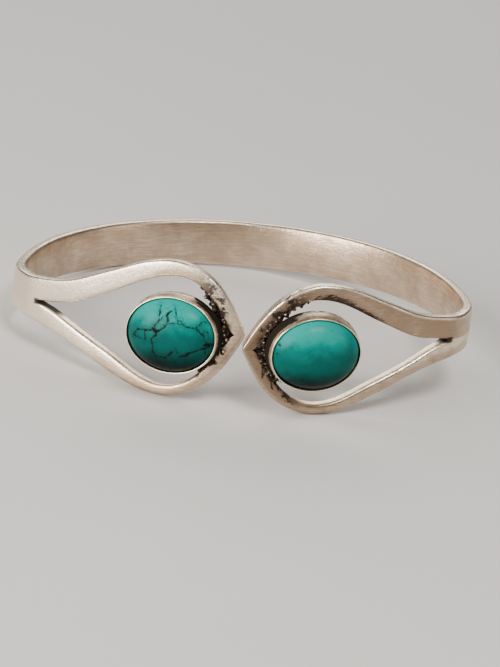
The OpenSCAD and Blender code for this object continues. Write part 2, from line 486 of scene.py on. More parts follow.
class Paint:
    """One material and the nodes that it is made of."""

    def __init__(self, name: str) -> None:
        """Starts an empty material with a shader and an output.

        Args:
            name: The material's name.
        """
        self.material = bpy.data.materials.new(name)
        self.material.use_nodes = True
        self.tree = self.material.node_tree
        self.tree.nodes.clear()
        self.shader = self.tree.nodes.new("ShaderNodeBsdfPrincipled")
        output = self.tree.nodes.new("ShaderNodeOutputMaterial")
        self.tree.links.new(self.shader.outputs[0], output.inputs["Surface"])

    def plug(self, socket: bpy.types.NodeSocket, value: object) -> None:
        """Links a wire to a socket, or sets the socket's own value.

        Args:
            socket: The socket.
            value: A wire, a number, or three numbers for a colour or a vector.
        """
        if isinstance(value, Wire):
            self.tree.links.new(value.socket, socket)
        elif isinstance(value, tuple) and socket.type == "RGBA":
            socket.default_value = (*value, 1.0)
        else:
            socket.default_value = value

    def raw(self, kind: str, settings: dict[str, object], inputs: dict[int | str, object]) -> bpy.types.Node:
        """Adds a node.

        Args:
            kind: The node's type.
            settings: Its properties, set first.
            inputs: Values or wires for its sockets.

        Returns:
            The node.
        """
        node = self.tree.nodes.new(kind)
        for key, value in settings.items():
            setattr(node, key, value)
        for key, value in inputs.items():
            self.plug(node.inputs[key], value)
        return node

    def node(
        self, kind: str, settings: dict[str, object], inputs: dict[int | str, object], out: int | str = 0
    ) -> Wire:
        """Adds a node and returns one of its outputs.

        Args:
            kind: The node's type.
            settings: Its properties.
            inputs: Values or wires for its sockets.
            out: Which output to take.

        Returns:
            The output.
        """
        return Wire(self, self.raw(kind, settings, inputs).outputs[out])

    def kept(self, name: str) -> Wire:
        """Returns a vector that the mesh keeps, in millimetres."""
        return self.node("ShaderNodeAttribute", {"attribute_name": name}, {}, "Vector")

    def place(self) -> Wire:
        """Returns the place on the object, in millimetres."""
        return self.node("ShaderNodeTexCoord", {}, {}, "Object").vector("SCALE", 1.0 / MM)

    def cloud(self, at: Wire, kind: Cloud) -> Wire:
        """Noise.

        Args:
            at: Where it is read.
            kind: Its kind.

        Returns:
            The noise, between 0 and 1.
        """
        return self.node("ShaderNodeTexNoise", {}, {
            "Vector": at, "Scale": kind.scale, "Detail": kind.detail, "Roughness": kind.rough,
            "Distortion": kind.warp,
        })

    def cells(self, at: Wire, scale: float, reach: Reach = Reach.MIDDLE) -> Wire:
        """Distance to the middle or to the edge of random cells.

        Args:
            at: Where it is read.
            scale: Cells in each millimetre.
            reach: What the distance is measured to.

        Returns:
            The distance, in cells.
        """
        return self.node(
            "ShaderNodeTexVoronoi", {"feature": reach.value}, {"Vector": at, "Scale": scale}, "Distance"
        )

    def stroke(self, face: Wire, points: Sequence[Span]) -> Wire:
        """Distance from a line with corners, drawn on a flat face.

        Args:
            face: Place on the face, with 0 as its third part.
            points: The line's corners.

        Returns:
            The distance, in millimetres.
        """
        near: Wire | None = None
        for a, b in pairwise(points):
            start = Vector((*a, 0.0))
            way = Vector((*b, 0.0)) - start
            length = way.length
            way.normalize()
            arm = face.vector("SUBTRACT", tuple(start))
            reach = arm.vector("DOT_PRODUCT", tuple(way), out=1).at_least(0.0).at_most(length)
            foot = self.join(way.x, way.y, 0.0).vector("SCALE", reach)
            away = arm.vector("DISTANCE", foot, out=1)
            near = away if near is None else near.at_most(away)
        return near

    def blend(self, share: Wire | Number, low: Wire | Trio, high: Wire | Trio) -> Wire:
        """Mixes two colours.

        Args:
            share: 0 gives low and 1 gives high.
            low: First colour.
            high: Second colour.

        Returns:
            The mixture.
        """
        return self.node("ShaderNodeMix", {"data_type": "RGBA"}, {0: share, 6: low, 7: high}, 2)

    def join(self, x: Wire | Number, y: Wire | Number, z: Wire | Number) -> Wire:
        """Returns a vector of three values."""
        return self.node("ShaderNodeCombineXYZ", {}, {0: x, 1: y, 2: z})

    def relief(self, height: Wire, depth: float, strength: float = 1.0, over: Wire | None = None) -> Wire:
        """Bump.

        Args:
            height: Height between 0 and 1.
            depth: What a height of 1 stands for, in millimetres.
            strength: Share of the bump that shows.
            over: Normal that it lies on.

        Returns:
            The normal.
        """
        inputs: dict[int | str, object] = {"Height": height, "Distance": depth * MM, "Strength": strength}
        if over is not None:
            inputs["Normal"] = over
        return self.node("ShaderNodeBump", {}, inputs)

    def finish(self, **sockets: Wire | Trio | Number) -> bpy.types.Material:
        """Sets the shader's sockets.

        Args:
            **sockets: Socket names in lower case with underscores.

        Returns:
            The material.
        """
        for key, value in sockets.items():
            self.plug(self.shader.inputs[key.replace("_", " ").title().replace("Ior", "IOR")], value)
        return self.material


# ---------------------------------------------------------------- finishes


@dataclass(frozen=True)
class Line:
    """A dark line on a face: half its width and its corners, in millimetres."""

    half: float
    points: tuple[Span, ...]


@dataclass(frozen=True)
class Places:
    """What the silver reads at a point of the strip: its measures in millimetres, and where it lies, 0 or 1."""

    run: Wire
    height: Wire
    depth: Wire
    from_tip: Wire
    inner: Wire
    outer: Wire
    right: Wire
    upper: Wire
    outside: Wire

    @classmethod
    def read(cls, paint: Paint) -> "Places":
        """Reads what the strip's mesh keeps.

        Args:
            paint: The material's paint.

        Returns:
            The places.
        """
        run, height, depth = paint.kept("strip").parts()
        from_tip, inner, outer = paint.kept("trim").parts()
        right, upper, outside = run.step(-0.5, 0.5), height.step(-0.2, 0.2), depth.step(0.9, 0.6)
        return cls(run, height, depth, from_tip, inner, outer, right, upper, outside)


@dataclass(frozen=True)
class Zone:
    """A stretch of the strip where something sets in.

    A span gives 0 at its first value and 1 at its second. It is measured in millimetres from the tip, or across
    the strand from the opening (inner) or from the strip's own edge (outer).
    """

    share: float = 1.0
    side: Side | None = None
    upper: bool | None = None
    from_tip: tuple[Span, ...] = ()
    inner: tuple[Span, ...] = ()
    outer: tuple[Span, ...] = ()

    def mask(self, at: Places) -> Wire | Number:
        """Tells how far a point lies in the zone.

        Args:
            at: Places on the strip.

        Returns:
            A value between 0 and the zone's share.
        """
        mask: Wire | Number = self.share
        if self.side is not None:
            mask = mask * (at.right if self.side is Side.RIGHT else 1 - at.right)
        if self.upper is not None:
            mask = mask * (at.upper if self.upper else 1 - at.upper)
        for measure, spans in ((at.from_tip, self.from_tip), (at.inner, self.inner), (at.outer, self.outer)):
            for span in spans:
                mask = mask * measure.step(*span)
        return mask

    @staticmethod
    def total(zones: Iterable["Zone"], at: Places) -> Wire:
        """Returns the sum of the zones' masks."""
        return sum((zone.mask(at) for zone in zones), 0.0)


@dataclass(frozen=True)
class SilverFinish:
    """Worn, hand-finished silver with tarnish in its slots and at its tips, and painted shade and reflection
    that darken the right arm, the lower strands, the tips and the inner faces.
    """

    bright: Trio = (0.98, 0.84, 0.67)
    # The two browner tones carry painted shade and painted reflection as well as tarnish.
    mid_tarnish_and_shade: Trio = (0.60, 0.46, 0.33)
    brown_tarnish_and_shade: Trio = (0.33, 0.225, 0.15)
    tarnish: Trio = (0.16, 0.10, 0.06)
    oxide: Trio = (0.012, 0.010, 0.009)
    # Zones of painted shade and painted reflection, with some tarnish: the right arm, the lower strands and the
    # tips.
    painted_shade_zones: tuple[Zone, ...] = (
        Zone(1.0, Side.RIGHT, True, ((42.0, 27.0),), outer=((0.2, 0.6),)),
        Zone(0.25, Side.RIGHT, True, ((42.0, 27.0), (18.4, 19.4)), outer=((0.2, 0.6),)),
        Zone(0.35, Side.RIGHT, True, ((12.0, 7.0),), outer=((0.3, 0.8),)),
        Zone(0.15, Side.RIGHT, False, ((42.0, 27.0),)),
        Zone(0.65, Side.RIGHT, False, ((42.0, 27.0),), outer=((1.9, 0.8),)),
        Zone(0.38, Side.LEFT, True, ((16.0, 11.0),), inner=((1.6, 0.5),)),
        Zone(0.1, Side.LEFT, False, ((26.0, 14.0),)),
        Zone(0.55, Side.LEFT, False, ((26.0, 14.0),), outer=((2.0, 0.7),)),
        Zone(0.3, None, None, ((9.0, 5.0),), outer=((0.4, 1.1),)),
        Zone(0.75, Side.RIGHT, None, ((9.0, 5.0),), outer=((0.4, 1.1),)),
        Zone(0.15, None, False, ((9.0, 5.0),), outer=((0.4, 1.1),)),
    )
    browned: tuple[Zone, ...] = (
        Zone(0.35, Side.RIGHT, None, ((10.0, 5.5),), outer=((0.5, 1.7),)),
        Zone(0.3, Side.RIGHT, True, ((10.0, 5.5),), outer=((0.5, 1.7),)),
    )
    long_band: Zone = Zone(from_tip=((6.0, 11.0), (17.5, 13.0)), inner=((1.9, 0.6), (-0.1, 0.3)))
    thin_band: Zone = Zone(from_tip=((11.0, 14.5), (22.0, 16.5)), inner=((1.3, 0.2),))
    band_edge: Zone = Zone(0.12, inner=((0.9, 0.2),))
    slots: tuple[Zone, ...] = (
        Zone(1.0, Side.LEFT, None, ((25.4, 27.2), (31.0, 30.4)), inner=((0.25, 0.0),)),
        Zone(1.0, Side.RIGHT, None, ((28.0, 29.8), (31.0, 30.4)), inner=((0.25, 0.0),)),
    )
    burnt: tuple[Zone, ...] = (
        Zone(1.0, Side.LEFT, None, ((8.5, 4.5), (1.4, 2.4))),
        Zone(1.0, Side.RIGHT, None, ((9.7, 5.7), (1.4, 2.4))),
    )
    thinning: tuple[Zone, ...] = (
        Zone(0.47, Side.LEFT, False), Zone(0.25, Side.RIGHT, False), Zone(0.07, None, True),
    )
    rubbed: Zone = Zone(0.75, Side.RIGHT, None, ((11.0, 6.0),), outer=((0.5, 1.3),))
    nicked: Zone = Zone(0.6, from_tip=((4.0, 6.0), (36.0, 12.0)))
    scratches: tuple[Line, ...] = (
        Line(0.07, ((9.6, 6.9), (11.2, 8.0))), Line(0.04, ((10.4, 7.0), (11.8, 7.8))),
        Line(0.04, ((8.6, 7.1), (9.6, 7.9))), Line(0.08, ((3.0, -1.7), (3.1, -3.7))),
        Line(0.05, ((3.5, -2.1), (3.2, -3.4))), Line(0.07, ((3.9, -2.8), (4.6, -5.3))),
    )
    brushing: Cloud = Cloud(1.0, 4.0, 0.6)
    streaks: Cloud = Cloud(1.0, 5.0, 0.7, 0.3)
    strokes: Cloud = Cloud(2.2, 2.0)
    smudges: Cloud = Cloud(0.28, 4.0, 0.6, 0.4)
    patches: Cloud = Cloud(1.1, 4.0, 0.65, 0.5)
    specks: Cloud = Cloud(3.0, 3.0, 0.7)

    def tarnish_and_shade(self, at: Places, band: Wire, smudge: Wire, grain: Wire) -> Wire:
        """Darkens the silver with painted shade and reflection in zones and on the inner faces, and with
        tarnish in smudges, along the brushing and in the band.

        Args:
            at: Places on the strip.
            band: The tarnished band of the right arm.
            smudge: Cloud of broad smudges.
            grain: Cloud drawn out along the strip.

        Returns:
            The painted shade and tarnish together, from 0 to about 2.
        """
        # painted shade and reflection: the zones on the outer face, and half a share on the inner faces
        shade = Zone.total(self.painted_shade_zones, at) * at.outside + at.depth.step(1.1, 1.5) * 0.5
        tarnish_and_shade = shade * (0.15 + smudge * 0.85 + grain * 0.75)
        tarnish_and_shade = tarnish_and_shade + smudge.step(0.35, 0.75) * 0.22 + grain.step(0.35, 0.75) * 0.22
        return tarnish_and_shade + at.right * at.upper * at.outside * band * 0.5

    def scratched(self, paint: Paint, at: Places, speck: Wire) -> Wire:
        """Draws the few deep scratches of the right arm.

        Args:
            paint: The material's paint.
            at: Places on the strip.
            speck: Cloud of fine specks, which roughens the lines.

        Returns:
            The scratches, between 0 and 1.
        """
        face = paint.join(at.from_tip + speck * 0.3, at.height + speck * 0.25, 0.0)
        dark: Wire | Number = 0.0
        for line in self.scratches:
            dark = (paint.stroke(face, line.points) - line.half).step(0.1, -0.02).at_least(dark)
        return dark * at.right * at.outside * (0.4 + speck)

    def black(self, paint: Paint, at: Places, band: Wire, speck: Wire, streak: Wire) -> Wire:
        """Gathers all that is black: slots, burnt places, stains, scratches, nicks and rubbed-in dirt.

        Args:
            paint: The material's paint.
            at: Places on the strip.
            band: The tarnished band of the right arm.
            speck: Cloud of fine specks.
            streak: Cloud of streaks along the strip.

        Returns:
            The blackness, between 0 and 1.
        """
        patch = paint.cloud(paint.place(), self.patches) - at.inner * Zone.total(self.thinning, at)
        burnt = Zone.total(self.burnt, at) * patch.step(0.3, 0.46)
        stain = (band * (0.46 + self.band_edge.mask(at)) + streak * 0.75 + speck * 0.5).step(0.84, 1.18)
        stain = at.right * at.upper * at.outside * stain
        slant = paint.join(at.run * 0.9 + at.height * 0.5, at.height * 3.2 - at.run * 0.25, at.depth * 3.0)
        nicks = self.nicked.mask(at) * at.outside * paint.cloud(slant, self.strokes).step(0.66, 0.73)
        dirt = self.rubbed.mask(at) * at.outside * (streak * 0.9 + speck * 0.45).step(0.68, 0.98)
        marks = self.scratched(paint, at, speck) + nicks + dirt
        return (Zone.total(self.slots, at) + burnt + stain + marks).at_most(1.0)

    def material(self) -> bpy.types.Material:
        """Mixes the silver, which reads the strip's own measures.

        Returns:
            The material.
        """
        paint = Paint("worn_silver")
        at, spot = Places.read(paint), paint.place()
        grain = paint.cloud(paint.join(at.run * 0.35, at.height * 6.0, at.depth * 6.0), self.brushing)
        streak = paint.cloud(paint.join(at.run * 0.9, at.height * 4.5, at.depth * 2.0), self.streaks)
        smudge, speck = paint.cloud(spot, self.smudges), paint.cloud(spot, self.specks)
        band = self.long_band.mask(at).at_least(self.thin_band.mask(at))
        tarnish_and_shade = self.tarnish_and_shade(at, band, smudge, grain)
        black = self.black(paint, at, band, speck, streak)

        brown = Zone.total(self.browned, at) * at.outside * (0.3 + smudge * 0.8 + streak * 0.6)
        brown = brown.at_most(1.0).at_least(speck.step(0.6, 0.8) * (0.2 + tarnish_and_shade * 0.3))
        # The bright silver darkens to a light brown and then a deep brown where painted shade and tarnish build
        # up.
        colour = paint.blend(tarnish_and_shade.step(0.0, 0.75), self.bright, self.mid_tarnish_and_shade)
        colour = paint.blend(tarnish_and_shade.step(0.5, 1.4) * 0.85, colour, self.brown_tarnish_and_shade)
        colour = paint.blend(brown, colour, self.tarnish)
        gloss = 0.17 + smudge * 0.12 + grain * 0.1 + tarnish_and_shade * 0.06 + black * 0.35
        brushed = paint.relief(grain, 0.02, 0.5, paint.relief(smudge, 0.12, 0.5))
        return paint.finish(
            base_color=paint.blend(black * 0.95, colour, self.oxide),
            roughness=gloss.at_most(0.85), metallic=1 - black * 0.7, specular_ior_level=0.1,
            normal=paint.relief(speck.step(0.4, 0.8) - black, 0.025, 0.6, brushed),
        )


@dataclass(frozen=True)
class SolderFinish:
    """Granular solder, dark in its pits and bright on its grains, filed smooth toward the wrist."""

    grain: Trio = (0.80, 0.68, 0.54)
    crust: Trio = (0.05, 0.036, 0.026)
    pit: Trio = (0.006, 0.005, 0.004)
    smooth: Trio = (0.42, 0.33, 0.25)
    lumps: Cloud = Cloud(2.0, 4.0, 0.65, 0.8)

    def material(self) -> bpy.types.Material:
        """Mixes the solder, which reads how far the crust rises.

        Returns:
            The material.
        """
        paint = Paint("solder")
        spot = paint.place()
        rise, inward, _ = paint.kept("crust").parts()
        lumps = paint.cloud(spot, self.lumps)
        fine = paint.cells(spot, 4.5)
        bright = (rise * 0.7 + lumps * 1.3 - fine * 0.2).step(1.14, 1.46)
        raised = (rise + lumps * 0.6).step(0.6, 1.0)
        front = paint.blend(bright, paint.blend(raised, self.pit, self.crust), self.grain)
        back = paint.blend(lumps.step(0.3, 0.7), self.smooth, self.grain)
        return paint.finish(
            base_color=paint.blend(inward.step(0.4, 0.8), front, back), roughness=0.55 - bright * 0.25,
            metallic=(0.25 + raised * 0.75).at_least(inward), specular_ior_level=0.1,
            normal=paint.relief(fine, 0.05, 0.5, paint.relief(lumps, 0.2, 0.7)),
        )


@dataclass(frozen=True)
class SettingFinish:
    """Thin rolled silver of a setting, pale where it is rubbed, black at its foot, with painted shadow on its
    wall toward the arm's tip and a painted dark line of shade where its rim meets the stone.
    """

    side: Side
    rubbed: Trio = (0.98, 0.83, 0.64)
    tarnish_and_shade: Trio = (0.46, 0.33, 0.20)
    black: Trio = (0.016, 0.012, 0.009)
    # Where the painted shadow toward the arm's tip sets in, and below which heights it is black and brown.
    shade_toward_tip: Span = (2.2, 4.4)
    shadow_below: Span = (1.75, 1.35)
    shade_below: Span = (2.05, 1.8)
    smudges: Cloud = Cloud(0.8, 4.0, 0.6, 0.5)
    rolling: Cloud = Cloud(2.0, 3.0)

    def material(self) -> bpy.types.Material:
        """Mixes the setting's silver, which reads the setting's own frame.

        Returns:
            The material.
        """
        paint = Paint(self.side.called("setting_silver"))
        seat, spot = paint.kept("seat"), paint.place()
        along, across, out = seat.parts()
        wall, _, _ = paint.kept("wall").parts()
        smudge = paint.cloud(spot, self.smudges)
        fine = paint.cloud(paint.join(along, across, out * 5.0), self.rolling)
        # painted shadow on the wall toward the arm's tip
        tip = (smudge * 2.0 - along * self.side.value).step(*self.shade_toward_tip)
        # black at the foot, and a painted dark line of shade on the inner wall where the rim meets the stone
        foot = out.step(0.9, 0.2) * smudge.step(0.25, 0.6) + wall.step(-0.03, -0.07) * out.step(0.4, 0.6)
        foot = foot + tip * (out - smudge * 0.5).step(*self.shadow_below)
        foot = (foot * out.step(0.02, 0.12) * (0.76 + fine * 0.55)).at_most(1.0)
        # brown from smudges, and painted shade toward the arm's tip
        aged_and_shaded = smudge.step(0.45, 0.8) * 0.45 + tip * (out - smudge * 0.3).step(*self.shade_below) * 0.7
        colour = paint.blend(aged_and_shaded.at_most(1.0), self.rubbed, self.tarnish_and_shade)
        return paint.finish(
            base_color=paint.blend(foot, colour, self.black), roughness=0.2 + smudge * 0.18 + foot * 0.4,
            metallic=1 - foot * 0.95, specular_ior_level=0.03,
            normal=paint.relief(fine, 0.03, 0.5, paint.relief(smudge, 0.1, 0.5)),
        )


@dataclass(frozen=True)
class Chip:
    """A small round chip in a stone: its place along and across, and its size, in millimetres."""

    along: float
    across: float
    size: float


@dataclass(frozen=True)
class TurquoiseFinish:
    """Polished turquoise with its own veins and chips, painted light on its upper part, painted shade on its
    lower part and a painted dark line of shade round its edge.
    """

    name: str
    body: Trio
    # pale is painted light on the stone's upper part and deep is painted shade on its lower part
    pale: Trio
    deep: Trio
    matrix: Trio
    veins: tuple[Line, ...] = ()
    chips: tuple[Chip, ...] = ()
    drift: Cloud = Cloud(1.1, 3.0, 0.6)
    swelling: Cloud = Cloud(1.7, 2.0)
    broad: Cloud = Cloud(0.33, 4.0, 0.6, 0.5)
    blots: Cloud = Cloud(1.4, 4.0, 0.65)
    breaks: Cloud = Cloud(2.6, 3.0, 0.6)
    wander: float = 0.5
    ragged: float = 0.24
    web: float = 0.6

    def face(self, paint: Paint, seat: Wire, flat: Wire) -> Wire:
        """Lets the flat face wander a little, so that what is drawn on it has no straight line.

        Args:
            paint: The material's paint.
            seat: Place in the setting's own frame.
            flat: The same place without its height.

        Returns:
            The wandering place.
        """
        shifts = [paint.cloud(at, self.drift) - 0.5 for at in (seat, seat.vector("ADD", (7.0, 3.0, 5.0)))]
        return flat.vector("ADD", paint.join(*shifts, 0.0).vector("SCALE", self.wander))

    def veined(self, paint: Paint, face: Wire, thick: Wire, mottle: Wire, broken: Wire) -> Wire:
        """Draws the veins, with a halo and a fine net beside them.

        Args:
            paint: The material's paint.
            face: Place on the stone's face.
            thick: Cloud round 0 that changes a line's width.
            mottle: Cloud of small blots.
            broken: Mask that breaks the lines up.

        Returns:
            The darkness, between 0 and 1.
        """
        first, *others = [paint.stroke(face, vein.points) - vein.half for vein in self.veins]
        near = first
        for other in others:
            near = near.at_most(other)
        line = (near + thick * self.ragged).step(0.1, -0.05) * (0.34 + broken * 0.52)
        knot = near.step(-0.06, -0.14) * 0.45
        halo = near.step(0.7, 0.0) * mottle.step(0.4, 0.65) * 0.4
        cells = paint.cells(face, 0.9, Reach.EDGE).step(0.06, 0.0)
        net = cells * near.step(0.8, 0.1) * broken * self.web
        return (line + knot + halo).at_most(1.0).at_least(net)

    def material(self) -> bpy.types.Material:
        """Mixes the turquoise, which reads the setting's own frame.

        Returns:
            The material.
        """
        paint = Paint(self.name)
        seat = paint.kept("seat")
        along, across, _ = seat.parts()
        face = self.face(paint, seat, paint.join(along, across, 0.0))
        thick = paint.cloud(seat, self.swelling) - 0.5
        cloudy, mottle = paint.cloud(seat, self.broad), paint.cloud(seat, self.blots)
        broken = paint.cloud(seat, self.breaks).step(0.34, 0.6)

        # a painted dark line of shade round the stone's edge, where the setting's rim meets it
        rim = paint.join(along / 6.0, across / 5.0, 0.0).vector("LENGTH", out=1)
        dark = rim.step(0.955, 0.99) * (0.7 + broken * 0.3)
        if self.veins:
            dark = self.veined(paint, face, thick, mottle, broken).at_least(dark)
        for chip in self.chips:
            away = face.vector("DISTANCE", (chip.along, chip.across, 0.0), out=1)
            mark = (away + thick * chip.size * 1.6).step(chip.size, chip.size * 0.4) * 0.85
            dark = mark.at_least(dark)

        # painted shade towards the stone's lower edge, and painted light towards its upper edge
        low = (across + cloudy * 2.0).step(0.0, -3.0) + mottle.step(0.55, 0.8) * 0.25
        colour = paint.blend((across + cloudy * 4.0).step(1.5, 6.0), self.body, self.pale)
        colour = paint.blend(low.at_most(1.0), colour, self.deep)
        return paint.finish(
            base_color=paint.blend(dark, colour, self.matrix),
            roughness=0.17 + dark * 0.35 + mottle * 0.1, specular_ior_level=0.06,
            normal=paint.relief(1 - dark, 0.03, 0.35, paint.relief(cloudy, 0.12, 0.25)),
        )


LEFT_VEINS = (
    Line(0.07, (
        (-4.59, -0.19), (-4.4, 0.14), (-4.04, 0.59), (-3.43, 0.7), (-2.93, 0.67), (-2.18, 0.8), (-1.68, 0.94),
    )),
    Line(0.07, ((-4.59, -0.19), (-4.08, -0.4), (-3.6, -0.47), (-3.01, -0.4))),
    Line(0.1, ((-2.93, 0.67), (-2.97, 0.24), (-2.84, -0.36), (-2.89, -0.6))),
    Line(0.25, ((-1.84, 1.08), (-1.56, 0.79))),
    Line(0.11, (
        (-1.56, 0.79), (-1.47, 0.37), (-1.71, 0.05), (-1.9, -0.43), (-1.8, -1.14), (-1.68, -1.86),
        (-1.39, -2.48),
    )),
    Line(0.09, ((-1.39, -2.48), (-0.74, -2.56), (-0.02, -2.55), (0.51, -2.03), (1.03, -1.62))),
    Line(0.07, ((-1.68, 0.94), (-1.63, 1.55), (-1.28, 1.99), (-1.27, 2.62), (-1.35, 3.33), (-1.42, 3.96))),
    Line(0.05, ((-1.28, 1.99), (-0.97, 2.51), (-0.88, 2.97))),
    Line(0.08, (
        (-1.68, 0.94), (-1.17, 0.93), (-0.65, 1.21), (-0.34, 1.52), (-0.05, 1.99), (-0.1, 2.48), (-0.37, 3.05),
    )),
    Line(0.14, ((-0.4, 3.02), (-0.26, 3.2))),
    Line(0.05, ((-0.26, 3.22), (0.16, 3.5))),
    Line(0.05, ((-0.05, 1.99), (0.62, 2.23), (1.22, 2.26))),
    Line(0.05, ((1.2, 2.58), (0.9, 3.18), (0.68, 3.66), (0.54, 3.99))),
    Line(0.13, ((1.26, 2.5), (1.61, 2.46), (1.83, 2.24))),
    Line(0.08, ((1.27, 2.25), (1.51, 2.08), (1.84, 2.15))),
    Line(0.08, ((1.83, 2.2), (2.38, 1.96), (2.97, 1.89), (3.54, 1.85))),
    Line(0.08, ((3.54, 1.85), (4.01, 1.41), (4.48, 1.04), (4.77, 0.49), (5.12, -0.09))),
    Line(0.06, ((3.54, 1.85), (3.88, 2.13), (3.98, 2.48), (4.32, 2.7), (4.69, 2.58))),
    Line(0.04, ((4.89, 1.5), (5.1, 1.07), (5.12, 0.65))),
    Line(0.3, ((5.07, -0.25), (5.34, -0.36))),
    Line(0.14, ((5.26, -0.61), (4.91, -0.87), (4.54, -0.91))),
    Line(0.09, ((5.02, -0.87), (4.99, -1.5))),
    Line(0.1, ((4.54, -0.91), (3.85, -1.17), (3.14, -1.5), (2.62, -1.95), (1.99, -2.08))),
    Line(0.12, ((1.5, -1.45), (1.59, -1.63))),
)


@dataclass(frozen=True)
class FloorFinish:
    """Plain pale studio floor."""

    tone: Trio = (0.64, 0.625, 0.61)
    shade: Trio = (0.60, 0.585, 0.57)
    cloud: Cloud = Cloud(0.02, 2.0)

    def material(self) -> bpy.types.Material:
        """Mixes the floor's paint.

        Returns:
            The material.
        """
        paint = Paint("pale_floor")
        share = paint.cloud(paint.place(), self.cloud)
        return paint.finish(base_color=paint.blend(share, self.tone, self.shade), roughness=0.8)


# ---------------------------------------------------------------- sub-assemblies


class Assembly:
    """Ties pieces to the frame."""

    @staticmethod
    def join(piece: bpy.types.Object, material: bpy.types.Material, slot: str, node: str) -> None:
        """Gives a piece its finish and makes it ride with the cuff in place of a node.

        Args:
            piece: The built piece.
            material: Its finish.
            slot: Material slot of the record. Not used.
            node: Node that it stands for.
        """
        piece.data.materials.append(material)
        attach(piece, "root")
        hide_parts(node)
        LOG.info("%s: %d faces for %s", piece.name, len(piece.data.polygons), node)


